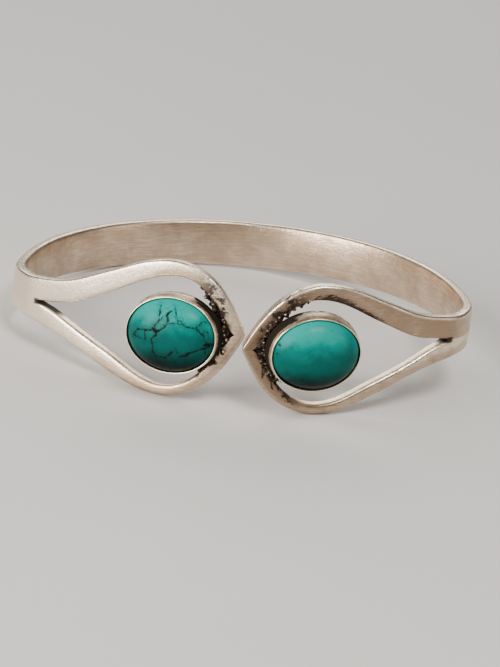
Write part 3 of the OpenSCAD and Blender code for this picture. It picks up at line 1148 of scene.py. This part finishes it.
@dataclass
class Strip:
    """Band and strands, sawn from one strip of silver and bent round the wrist."""

    name: str = "band_and_strands"
    edge: float = 0.42
    strand_crown: float = 0.06
    outer_crown: float = 0.2
    inner_crown: float = 0.3
    quarter: tuple[float, ...] = (0.0, 22.5, 45.0, 67.5, 90.0)
    flats: int = 4
    tip_stations: tuple[float, ...] = (0.0, 0.12, 0.3, 0.55, 0.85, 1.2)
    longest_steps: tuple[float, ...] = (0.32, 0.45, 0.25, 0.5, 1.1)
    back_fade: float = 16.0
    wave: float = 0.035
    sway: float = 0.056
    finish: SilverFinish = field(default_factory=SilverFinish)

    def columns(self) -> list[tuple[Arm, float]]:
        """Lists the stations from the left tip round the back to the right tip.

        Returns:
            For each station its arm and its distance from that arm's tip.
        """
        made: list[tuple[Arm, float]] = []
        for arm in ARMS:
            away = list(self.tip_stations)
            stops = (TIP_END, 6.0, CROTCH - 1.0, CROTCH, CROTCH + 3.0, arm.length)
            for (start, stop), longest in zip(pairwise(stops), self.longest_steps, strict=True):
                away += steps(start, stop, longest)
            if arm.side is Side.LEFT:
                made += [(arm, d) for d in away + [arm.length]]
            else:
                made += [(arm, d) for d in reversed(away)]
        return made

    def section(self, arm: Arm, from_tip: float) -> list[Trio]:
        """Rows of a station from its lower to its upper edge.

        Args:
            arm: The arm.
            from_tip: Distance from the tip.

        Returns:
            For each row its height, its drop at the rounded edges, and its place from 0 at the opening to 1.
        """
        rows: list[Trio] = []
        turns = [math.radians(angle) for angle in self.quarter]
        open_edge = smooth(CROTCH + 0.1, CROTCH - 1.4, from_tip)
        open_edge *= smooth(TIP_END - 0.1, TIP_END + 1.0, from_tip)
        for upper in (False, True):
            sign = 1.0 if upper else -1.0
            inner = sign * max(sign * arm.opening(from_tip, upper), 0.05)
            outer = OUTLINE.at(from_tip, upper)
            width = abs(outer - inner)
            big = min(self.edge, width * 0.45)
            small = min(big, max(0.03, big * open_edge))
            points = [
                (inner + sign * small * (1 - math.cos(turn)), big * open_edge * (1 - math.sin(turn)))
                for turn in turns
            ]
            start, stop = inner + sign * small, outer - sign * big
            points += [(start + (stop - start) * i / self.flats, 0.0) for i in range(1, self.flats)]
            points += [
                (outer - sign * big * (1 - math.cos(turn)), big * (1 - math.sin(turn)))
                for turn in reversed(turns)
            ]
            part = [(h, drop, abs(h - inner) / width) for h, drop in points]
            rows += part if upper else part[::-1]
        return rows

    def faces(self, from_tip: float, row: Trio, low: float, high: float) -> tuple[float, float]:
        """Depths of the outer and inner face at one row.

        Args:
            from_tip: Distance from the tip.
            row: The row.
            low: Lower edge of the whole strip.
            high: Upper edge of the whole strip.

        Returns:
            The two depths below the outer face's highest line.
        """
        whole = max(
            smooth(CROTCH - 2.5, CROTCH + 1.0, from_tip), smooth(TIP_END + 0.8, TIP_END - 0.3, from_tip)
        )
        share = min(1.0, max(0.0, (from_tip - CROTCH) / self.back_fade))
        across = 2.0 * (row[0] - low) / (high - low) - 1.0
        strand = (1 - whole) * self.strand_crown * (2.0 * row[2] - 1.0) ** 2

        def fall(crown: float) -> float:
            """Returns how far a face of that crown has fallen at the row."""
            return strand + whole * across * across * (self.strand_crown + (crown - self.strand_crown) * share)

        return fall(self.outer_crown) + row[1], METAL - fall(self.inner_crown) - row[1]

    def saw(self, stations: list[float], count: int) -> bpy.types.Object:
        """Saws the openings out of a flat grid and gives it its thickness.

        Args:
            stations: Distance from the tip at each column of the grid.
            count: Number of rows.

        Returns:
            The flat piece, from -1 to 1 both ways.
        """
        last = len(stations) - 1
        piece = Bench.begin(
            self.name, bpy.ops.mesh.primitive_grid_add, x_subdivisions=last, y_subdivisions=count - 1, size=2.0
        )

        def is_open(middle: Vector) -> bool:
            """Tells whether a face lies in an opening.

            Args:
                middle: The face's middle.

            Returns:
                True if it does.
            """
            i = int((middle.x + 1.0) / 2.0 * last)
            away = (stations[i] + stations[i + 1]) / 2.0
            return abs(middle.y) < 1.0 / count and TIP_END < away < CROTCH

        with Bench.editing():
            Bench.pick(piece, is_open)
            bpy.ops.mesh.delete(type="FACE")
            bpy.ops.mesh.select_all(action="SELECT")
            Bench.extrude(-1.0)
        return piece

    def bend(self, arm: Arm, from_tip: float, height: float, depth: float) -> Vector:
        """Puts a point on the arm, with the small unevenness of hand work.

        Args:
            arm: The arm.
            from_tip: Distance from the tip.
            height: Height across the strip.
            depth: Depth below the outer face.

        Returns:
            The point on the upright cuff.
        """
        run = arm.side.value * (arm.length - from_tip)
        soft = smooth(0.0, 2.0, from_tip)
        dent = noise.noise(Vector((run * 0.22, height * 0.3, depth * 0.2))) * self.wave
        sway = noise.noise(Vector((run * 0.16, 9.0, math.copysign(2.0, height)))) * self.sway
        return arm.place(from_tip, height + sway * soft, depth + dent * soft)

    def build(self) -> bpy.types.Object:
        """Bends the sawn strip and keeps its measures for the finish.

        Returns:
            The piece.
        """
        columns = self.columns()
        count = 2 * (2 * len(self.quarter) + self.flats - 1)
        piece = self.saw([away for _, away in columns], count)
        strip: list[Trio] = []
        trim: list[Trio] = []
        sections = [self.section(arm, away) for arm, away in columns]
        for vertex in piece.data.vertices:
            i = round((vertex.co.x + 1.0) / 2.0 * (len(columns) - 1))
            (arm, away), rows = columns[i], sections[i]
            row = rows[round((vertex.co.y + 1.0) / 2.0 * (count - 1))]
            height, low, high = row[0], rows[0][0], rows[-1][0]
            outer, inner = self.faces(away, row, low, high)
            depth = outer if vertex.co.z > -0.5 else inner
            strand = rows[count // 2:] if height > 0 else rows[:count // 2]
            inward = row[2] * (strand[-1][0] - strand[0][0])
            strip.append((arm.side.value * (arm.length - away), height, depth))
            trim.append((away, inward, high - height if height > 0 else height - low))
            vertex.co = self.bend(arm, away, height, depth)
        Bench.write(piece, "strip", strip)
        Bench.write(piece, "trim", trim)
        Bench.turn_outward()
        Bench.modify(piece, "SUBSURF", levels=1, render_levels=1)
        Bench.lay(piece, None, 60.0)
        return piece

    def dress(self, piece: bpy.types.Object) -> None:
        """Gives the strip its finish and its place in the frame."""
        Assembly.join(piece, self.finish.material(), "silver", "cuff")


@dataclass(frozen=True)
class Cup:
    """Sizes that a setting, its solder and its stone share. Millimetres."""

    half_long: float = 6.0
    half_wide: float = 5.0
    gap: float = 0.06
    wall: float = 0.2
    lean: float = 0.13
    lip: float = 0.1
    plate: float = 0.4
    rim: float = 2.4
    tall: float = 2.4

    @property
    def foot(self) -> float:
        """Returns the growth from the stone's outline to the collar's foot."""
        return self.gap + self.wall

    @property
    def floor(self) -> float:
        """Returns the height of the plate's underside."""
        return self.rim - self.tall

    @property
    def seat(self) -> float:
        """Returns the height of the stone's seat."""
        return self.floor + self.plate

    def ring(self, angle: float, grow: float, height: float) -> Vector:
        """Returns a point on an oval round the stone."""
        along, across = self.half_long + grow, self.half_wide + grow
        return Vector((along * math.cos(angle), across * math.sin(angle), height))


@dataclass
class Setting:
    """Back plate and collar of one stone."""

    arm: Arm
    cup: Cup = field(default_factory=Cup)
    sides: int = 168
    waver: float = 0.03
    ripple: float = 0.012
    dip: float = 0.05

    def profile(self) -> list[Span]:
        """Lists the rings, from the plate's foot to the seat inside.

        Returns:
            The growth and height of each ring.
        """
        c = self.cup
        edge, rim, rise = c.foot + c.lip, c.foot - c.lean, c.rim - c.seat
        return [
            # the plate's rounded edge
            (edge - 0.09, c.floor), (edge - 0.03, c.floor + 0.03), (edge, c.floor + 0.09),
            (edge, c.seat - 0.1), (edge - 0.02, c.seat - 0.04), (edge - 0.06, c.seat),
            # up the outside of the collar
            (c.foot + 0.01, c.seat + 0.01), (c.foot, c.seat + 0.04), (c.foot - 0.01, c.seat + rise * 0.3),
            (c.foot - 0.03, c.seat + rise * 0.6), (c.foot - 0.08, c.seat + rise * 0.85),
            # over the rim that leans in on the stone
            (rim, c.rim - 0.09), (rim - 0.03, c.rim - 0.02), (rim - 0.07, c.rim),
            (rim - c.wall + 0.06, c.rim), (rim - c.wall + 0.02, c.rim - 0.03), (rim - c.wall, c.rim - 0.1),
            # down the inside to the seat
            (c.gap - 0.09, c.seat + rise * 0.8), (c.gap - 0.03, c.seat + rise * 0.55),
            (c.gap, c.seat + 0.05), (c.gap - 0.04, c.seat),
        ]

    def build(self) -> bpy.types.Object:
        """Raises the collar ring by ring from a round plate.

        Returns:
            The piece.
        """
        rings = self.profile()
        piece = Bench.begin(
            self.arm.side.called("setting"), bpy.ops.mesh.primitive_circle_add,
            vertices=self.sides, radius=1.0, fill_type="NGON",
        )
        with Bench.editing():
            for _ in rings[1:]:
                Bench.extrude(1.0)
        seed = self.arm.side.value * 4.0

        def shape(flat: Vector) -> Vector:
            """Finds the place of a point of the stacked rings.

            Args:
                flat: Place on the stacked rings.

            Returns:
                The place.
            """
            grow, height = rings[round(flat.z)]
            angle = math.atan2(flat.y, flat.x)
            way = Vector((math.cos(angle), math.sin(angle), seed))
            near_rim = smooth(self.cup.seat, self.cup.rim, height)
            grow += near_rim * self.waver * noise.noise(way * 2.2) + self.ripple * noise.noise(way * 6.0)
            height += near_rim * self.dip * noise.noise(way * 1.7 + Vector((0.0, 0.0, 3.0)))
            return self.cup.ring(angle, grow, height)

        Bench.write(piece, "wall", [(rings[round(v.co.z)][0], 0.0, 0.0) for v in piece.data.vertices])
        Bench.form(piece, shape)
        Bench.write(piece, "seat", [v.co[:] for v in piece.data.vertices])
        Bench.turn_outward()
        Bench.lay(piece, self.arm.seat(), 55.0)
        return piece

    def dress(self, piece: bpy.types.Object) -> None:
        """Gives the setting its finish and its place in the frame."""
        Assembly.join(piece, SettingFinish(self.arm.side).material(), "silver", "cuff")


@dataclass
class Stone:
    """One oval cabochon."""

    arm: Arm
    finish: TurquoiseFinish
    cup: Cup = field(default_factory=Cup)
    tall: float = 4.1
    girdle: float = 0.8
    bevel: float = 0.25
    fullness: float = 0.9

    def build(self) -> bpy.types.Object:
        """Cuts a ball in half, draws out its girdle and domes it.

        Returns:
            The piece.
        """
        piece = Bench.begin(
            self.arm.side.called("cabochon"), bpy.ops.mesh.primitive_uv_sphere_add,
            segments=128, ring_count=64, radius=1.0,
        )
        foot = self.cup.seat + self.cup.gap
        top = foot + self.girdle
        lower = ((0.0, foot + self.girdle * 0.6), (0.0, foot + self.bevel), (-self.bevel, foot))
        with Bench.editing():
            Bench.pick(piece, lambda middle: middle.z < 0.0)
            bpy.ops.mesh.delete(type="FACE")
            bpy.ops.mesh.select_mode(type="EDGE")
            bpy.ops.mesh.select_all(action="DESELECT")
            bpy.ops.mesh.select_non_manifold(extend=False)
            for _ in lower:
                Bench.extrude(-1.0)
            bpy.ops.mesh.edge_face_add()
        dome = self.tall - self.girdle

        def shape(ball: Vector) -> Vector:
            """Finds the place of a point of the ball on the stone.

            Args:
                ball: Place on the drawn-out ball.

            Returns:
                The place.
            """
            angle = math.atan2(ball.y, ball.x)
            if ball.z < -0.5:
                return self.cup.ring(angle, *lower[round(-ball.z) - 1])
            share = math.hypot(ball.x, ball.y) ** self.fullness
            point = self.cup.ring(angle, 0.0, 0.0) * share
            point.z = top + dome * max(ball.z, 0.0)
            return point

        Bench.form(piece, shape)
        Bench.write(piece, "seat", [v.co[:] for v in piece.data.vertices])
        Bench.turn_outward()
        Bench.lay(piece, self.arm.seat(), 50.0)
        return piece

    def dress(self, piece: bpy.types.Object) -> None:
        """Gives the stone its finish and its place in the frame."""
        Assembly.join(piece, self.finish.material(), self.finish.name, self.arm.side.called("stone"))


@dataclass
class Solder:
    """Lumpy solder that fills an arm's eye at the tip and holds the setting."""

    arm: Arm
    grains: int
    seed: int
    reach: float
    lumps: tuple[Trio, ...]
    cup: Cup = field(default_factory=Cup)
    start: float = 0.6
    stop: float = 5.2
    recess: float = 0.3
    tongue: float = 0.9
    overlap: float = 0.45
    back: float = 0.14
    lumpy: float = 0.22
    rough: float = 0.1
    ragged: float = 0.3
    at_collar: float = 0.62
    collar_turn: float = 60.0
    collar_grains: Span = (0.16, 0.42)
    edge_grains: Span = (0.12, 0.22)
    voxel: float = 0.085
    spread: int = 4
    finish: SolderFinish = field(default_factory=SolderFinish)

    def web(self) -> bpy.types.Object:
        """Presses a plate into the eye, with a rough outer face.

        Returns:
            The plate.
        """
        piece = Bench.begin(
            self.arm.side.called("solder"), bpy.ops.mesh.primitive_grid_add,
            x_subdivisions=36, y_subdivisions=64, size=2.0,
        )
        with Bench.editing():
            Bench.extrude(-1.0)

        def shape(flat: Vector) -> Vector:
            """Finds the place of a point of the flat plate in the eye.

            Args:
                flat: Place on the flat plate.

            Returns:
                The place.
            """
            end = self.stop - self.tongue * (1.0 - flat.y * flat.y)
            end += self.ragged * noise.noise(Vector((flat.y * 4.0, self.seed, 0.0)))
            away = self.start + (end - self.start) * (flat.x + 1.0) / 2.0
            low = self.arm.opening(away, False) - self.overlap
            high = self.arm.opening(away, True) + self.overlap
            height = low + (high - low) * (flat.y + 1.0) / 2.0
            if flat.z < -0.5:
                return self.arm.place(away, height, METAL - self.back)
            lump = self.lumpy * noise.noise(Vector((away * 1.1, height * 1.1, self.seed)))
            fine = self.rough * noise.noise(Vector((away * 3.1, height * 3.1, self.seed + 5.0)))
            return self.arm.place(away, height, self.recess - lump - fine)

        Bench.form(piece, shape)
        return piece

    def grain(self, rng: random.Random) -> tuple[Vector, float]:
        """Picks a place and a size for one grain.

        Args:
            rng: Source of chance.

        Returns:
            The place on the upright cuff and the radius.
        """
        if rng.random() < self.at_collar:
            angle = math.radians(rng.uniform(-self.collar_turn, self.collar_turn))
            if self.arm.side is Side.RIGHT:
                angle = math.pi - angle
            point = self.cup.ring(angle, self.cup.foot + rng.uniform(0.0, 0.7), rng.uniform(-0.9, -0.1))
            return self.arm.seat() @ point, rng.uniform(*self.collar_grains)
        away = rng.uniform(2.0, self.reach)
        upper = away > 5.0 or rng.random() < 0.6
        edge = self.arm.opening(away, upper) + (1 if upper else -1) * rng.uniform(-0.15, 0.25)
        return self.arm.place(away, edge, rng.uniform(0.1, 0.5)), rng.uniform(*self.edge_grains)

    def crust(self, mesh: bpy.types.Mesh) -> list[Trio]:
        """Measures how far each point of the melted crust rises above its neighbours.

        Args:
            mesh: The crust's mesh.

        Returns:
            For each point the rise, near 0 in a pit, 0.5 on a flat and 1 on a grain, then how far it faces the
            wrist, then 0.
        """
        outward = self.arm.seat().col[2].to_3d()
        shape = bmesh.new()
        shape.from_mesh(mesh)
        rise = []
        for vertex in shape.verts:
            ring = [edge.other_vert(vertex).co for edge in vertex.link_edges]
            middle = sum(ring, Vector()) / len(ring)
            rise.append((vertex.co - middle).dot(vertex.normal) / self.voxel)
        near = [[v.index, *(edge.other_vert(v).index for edge in v.link_edges)] for v in shape.verts]
        for _ in range(self.spread):
            rise = [sum(rise[i] for i in group) / len(group) for group in near]
        facing = [max(0.0, -vertex.normal.dot(outward)) for vertex in shape.verts]
        shape.free()
        shares = [min(1.0, max(0.0, 0.5 + 4.0 * r)) for r in rise]
        return [(share, inward, 0.0) for share, inward in zip(shares, facing, strict=True)]

    def balls(self) -> list[bpy.types.Object]:
        """Rolls one ball and copies it, squashed by chance, to every grain and lump.

        Returns:
            The balls.
        """
        ball = Bench.begin("grain", bpy.ops.mesh.primitive_ico_sphere_add, subdivisions=2, radius=1.0)
        rng = random.Random(self.seed)
        spots = [self.grain(rng) for _ in range(self.grains)]
        spots += [(self.arm.place(away, height, 0.25), radius) for away, height, radius in self.lumps]
        made = []
        for place, radius in spots:
            copy = ball.copy()
            copy.data = ball.data.copy()
            squash = Matrix.Diagonal((*(rng.uniform(0.6, 1.3) for _ in range(3)), 1.0))
            copy.data.transform(Matrix.Translation(place) @ squash @ Matrix.Scale(radius, 4))
            bpy.context.scene.collection.objects.link(copy)
            made.append(copy)
        bpy.data.objects.remove(ball)
        return made

    def build(self) -> bpy.types.Object:
        """Joins the web and its grains and melts them together.

        Returns:
            The piece.
        """
        web = self.web()
        balls = self.balls()
        bpy.ops.object.select_all(action="DESELECT")
        for piece in (*balls, web):
            piece.select_set(True)
        bpy.context.view_layer.objects.active = web
        bpy.ops.object.join()
        Bench.turn_outward()
        Bench.modify(web, "REMESH", mode="VOXEL", voxel_size=self.voxel)
        with Bench.editing():
            bpy.ops.mesh.vertices_smooth(factor=0.5, repeat=2)
        Bench.write(web, "crust", self.crust(web.data))
        Bench.lay(web, None, 180.0)
        return web

    def dress(self, piece: bpy.types.Object) -> None:
        """Gives the solder its finish and its place in the frame."""
        Assembly.join(piece, self.finish.material(), "silver", "cuff")


# ---------------------------------------------------------------- studio


@dataclass(frozen=True)
class Softbox:
    """One soft light: where it stands, its size in metres, its power and its tint."""

    name: str
    stand: Trio
    size: Span
    power: float
    tint: Trio = (1.0, 1.0, 1.0)

    def light(self, target: Vector) -> None:
        """Adds the light and turns it to the target.

        Args:
            target: The place that it lights.
        """
        lamp = bpy.data.lights.new(self.name, "AREA")
        lamp.shape = "RECTANGLE"
        lamp.size, lamp.size_y = self.size
        lamp.energy, lamp.color = self.power, self.tint
        holder = bpy.data.objects.new(self.name, lamp)
        bpy.context.scene.collection.objects.link(holder)
        holder.location = self.stand
        holder.rotation_euler = (target - Vector(self.stand)).to_track_quat("-Z", "Y").to_euler()


@dataclass
class Studio:
    """Floor, lights, surroundings and camera. The eye is in millimetres, all else is in metres."""

    eye: Trio = (-17.564, -410.649, 183.082)
    looks: Trio = (0.043512, 0.913334, -0.404879)
    up: Trio = (-0.146546, 0.406714, 0.901725)
    lens: float = 177.1
    aim: Trio = (0.0, 0.0, 0.009)
    floor_size: float = 12.0
    ambient: Trio = (0.14, 0.136, 0.132)
    softboxes: tuple[Softbox, ...] = (
        Softbox("key_softbox", (-0.39, -0.31, 0.20), (0.44, 0.34), 5.4, (1.0, 0.96, 0.91)),
        Softbox("top_softbox", (0.12, -0.20, 0.44), (0.18, 0.14), 1.6, (1.0, 0.98, 0.95)),
        Softbox("back_softbox", (-0.06, 0.46, 0.32), (0.60, 0.26), 1.6, (1.0, 0.97, 0.93)),
        Softbox("side_softbox", (0.42, -0.12, 0.16), (0.10, 0.22), 0.25, (1.0, 0.94, 0.88)),
    )
    finish: FloorFinish = field(default_factory=FloorFinish)

    def floor(self) -> None:
        """Lays the floor under the cuff."""
        piece = Bench.begin("floor", bpy.ops.mesh.primitive_plane_add, size=self.floor_size)
        with Bench.editing():
            bpy.ops.mesh.subdivide(number_cuts=8)
        piece.data.materials.append(self.finish.material())

    def camera(self) -> None:
        """Sets the camera where the cuff is seen as in the photograph."""
        data = bpy.data.cameras.new("camera")
        data.sensor_width, data.lens = 36.0, self.lens
        data.clip_start, data.clip_end = 0.01, 10.0
        holder = bpy.data.objects.new("camera", data)
        bpy.context.scene.collection.objects.link(holder)
        back = -Vector(self.looks).normalized()
        up = Vector(self.up).normalized()
        pose = Matrix((up.cross(back), up, back)).transposed().to_4x4()
        pose.translation = Vector(self.eye) * MM
        holder.matrix_world = pose
        bpy.context.scene.camera = holder

    def surroundings(self) -> None:
        """Sets the soft light all round."""
        world = bpy.data.worlds.new("studio")
        world.use_nodes = True
        world.node_tree.nodes["Background"].inputs["Color"].default_value = (*self.ambient, 1.0)
        bpy.context.scene.world = world

    def build(self) -> None:
        """Sets up the whole studio."""
        self.floor()
        for box in self.softboxes:
            box.light(Vector(self.aim))
        self.surroundings()
        self.camera()


VEINED = TurquoiseFinish(
    "veined_turquoise", body=(0.0005, 0.075, 0.064), pale=(0.004, 0.27, 0.23), deep=(0.0005, 0.006, 0.006),
    matrix=(0.004, 0.006, 0.006), veins=LEFT_VEINS,
)
PLAIN = TurquoiseFinish(
    "plain_turquoise", body=(0.0005, 0.085, 0.072), pale=(0.006, 0.28, 0.24), deep=(0.0005, 0.007, 0.007),
    matrix=(0.008, 0.012, 0.011), chips=(
        Chip(-5.1, 1.6, 0.22), Chip(-5.35, 0.5, 0.16), Chip(4.2, 2.6, 0.1), Chip(4.7, 2.1, 0.08),
        Chip(3.6, 3.2, 0.07),
    ),
)
LEFT_LUMPS = ((5.2, 5.1, 0.42), (4.6, 4.6, 0.36), (4.2, 4.0, 0.3))
RIGHT_LUMPS = ((3.0, -0.7, 0.36), (3.6, -1.3, 0.26), (6.3, 5.7, 0.3), (7.2, 6.2, 0.26))


def main() -> None:
    """Builds the cuff piece by piece, then the studio."""
    logging.basicConfig(level=logging.INFO, format="%(name)s: %(message)s")
    left, right = ARMS
    for part in (
        Strip(),
        Solder(left, grains=70, seed=11, reach=6.5, lumps=LEFT_LUMPS),
        Solder(right, grains=90, seed=23, reach=8.5, lumps=RIGHT_LUMPS),
        Setting(left), Setting(right), Stone(left, VEINED), Stone(right, PLAIN),
    ):
        part.dress(part.build())
    Studio().build()


if __name__ == "__main__":
    main()
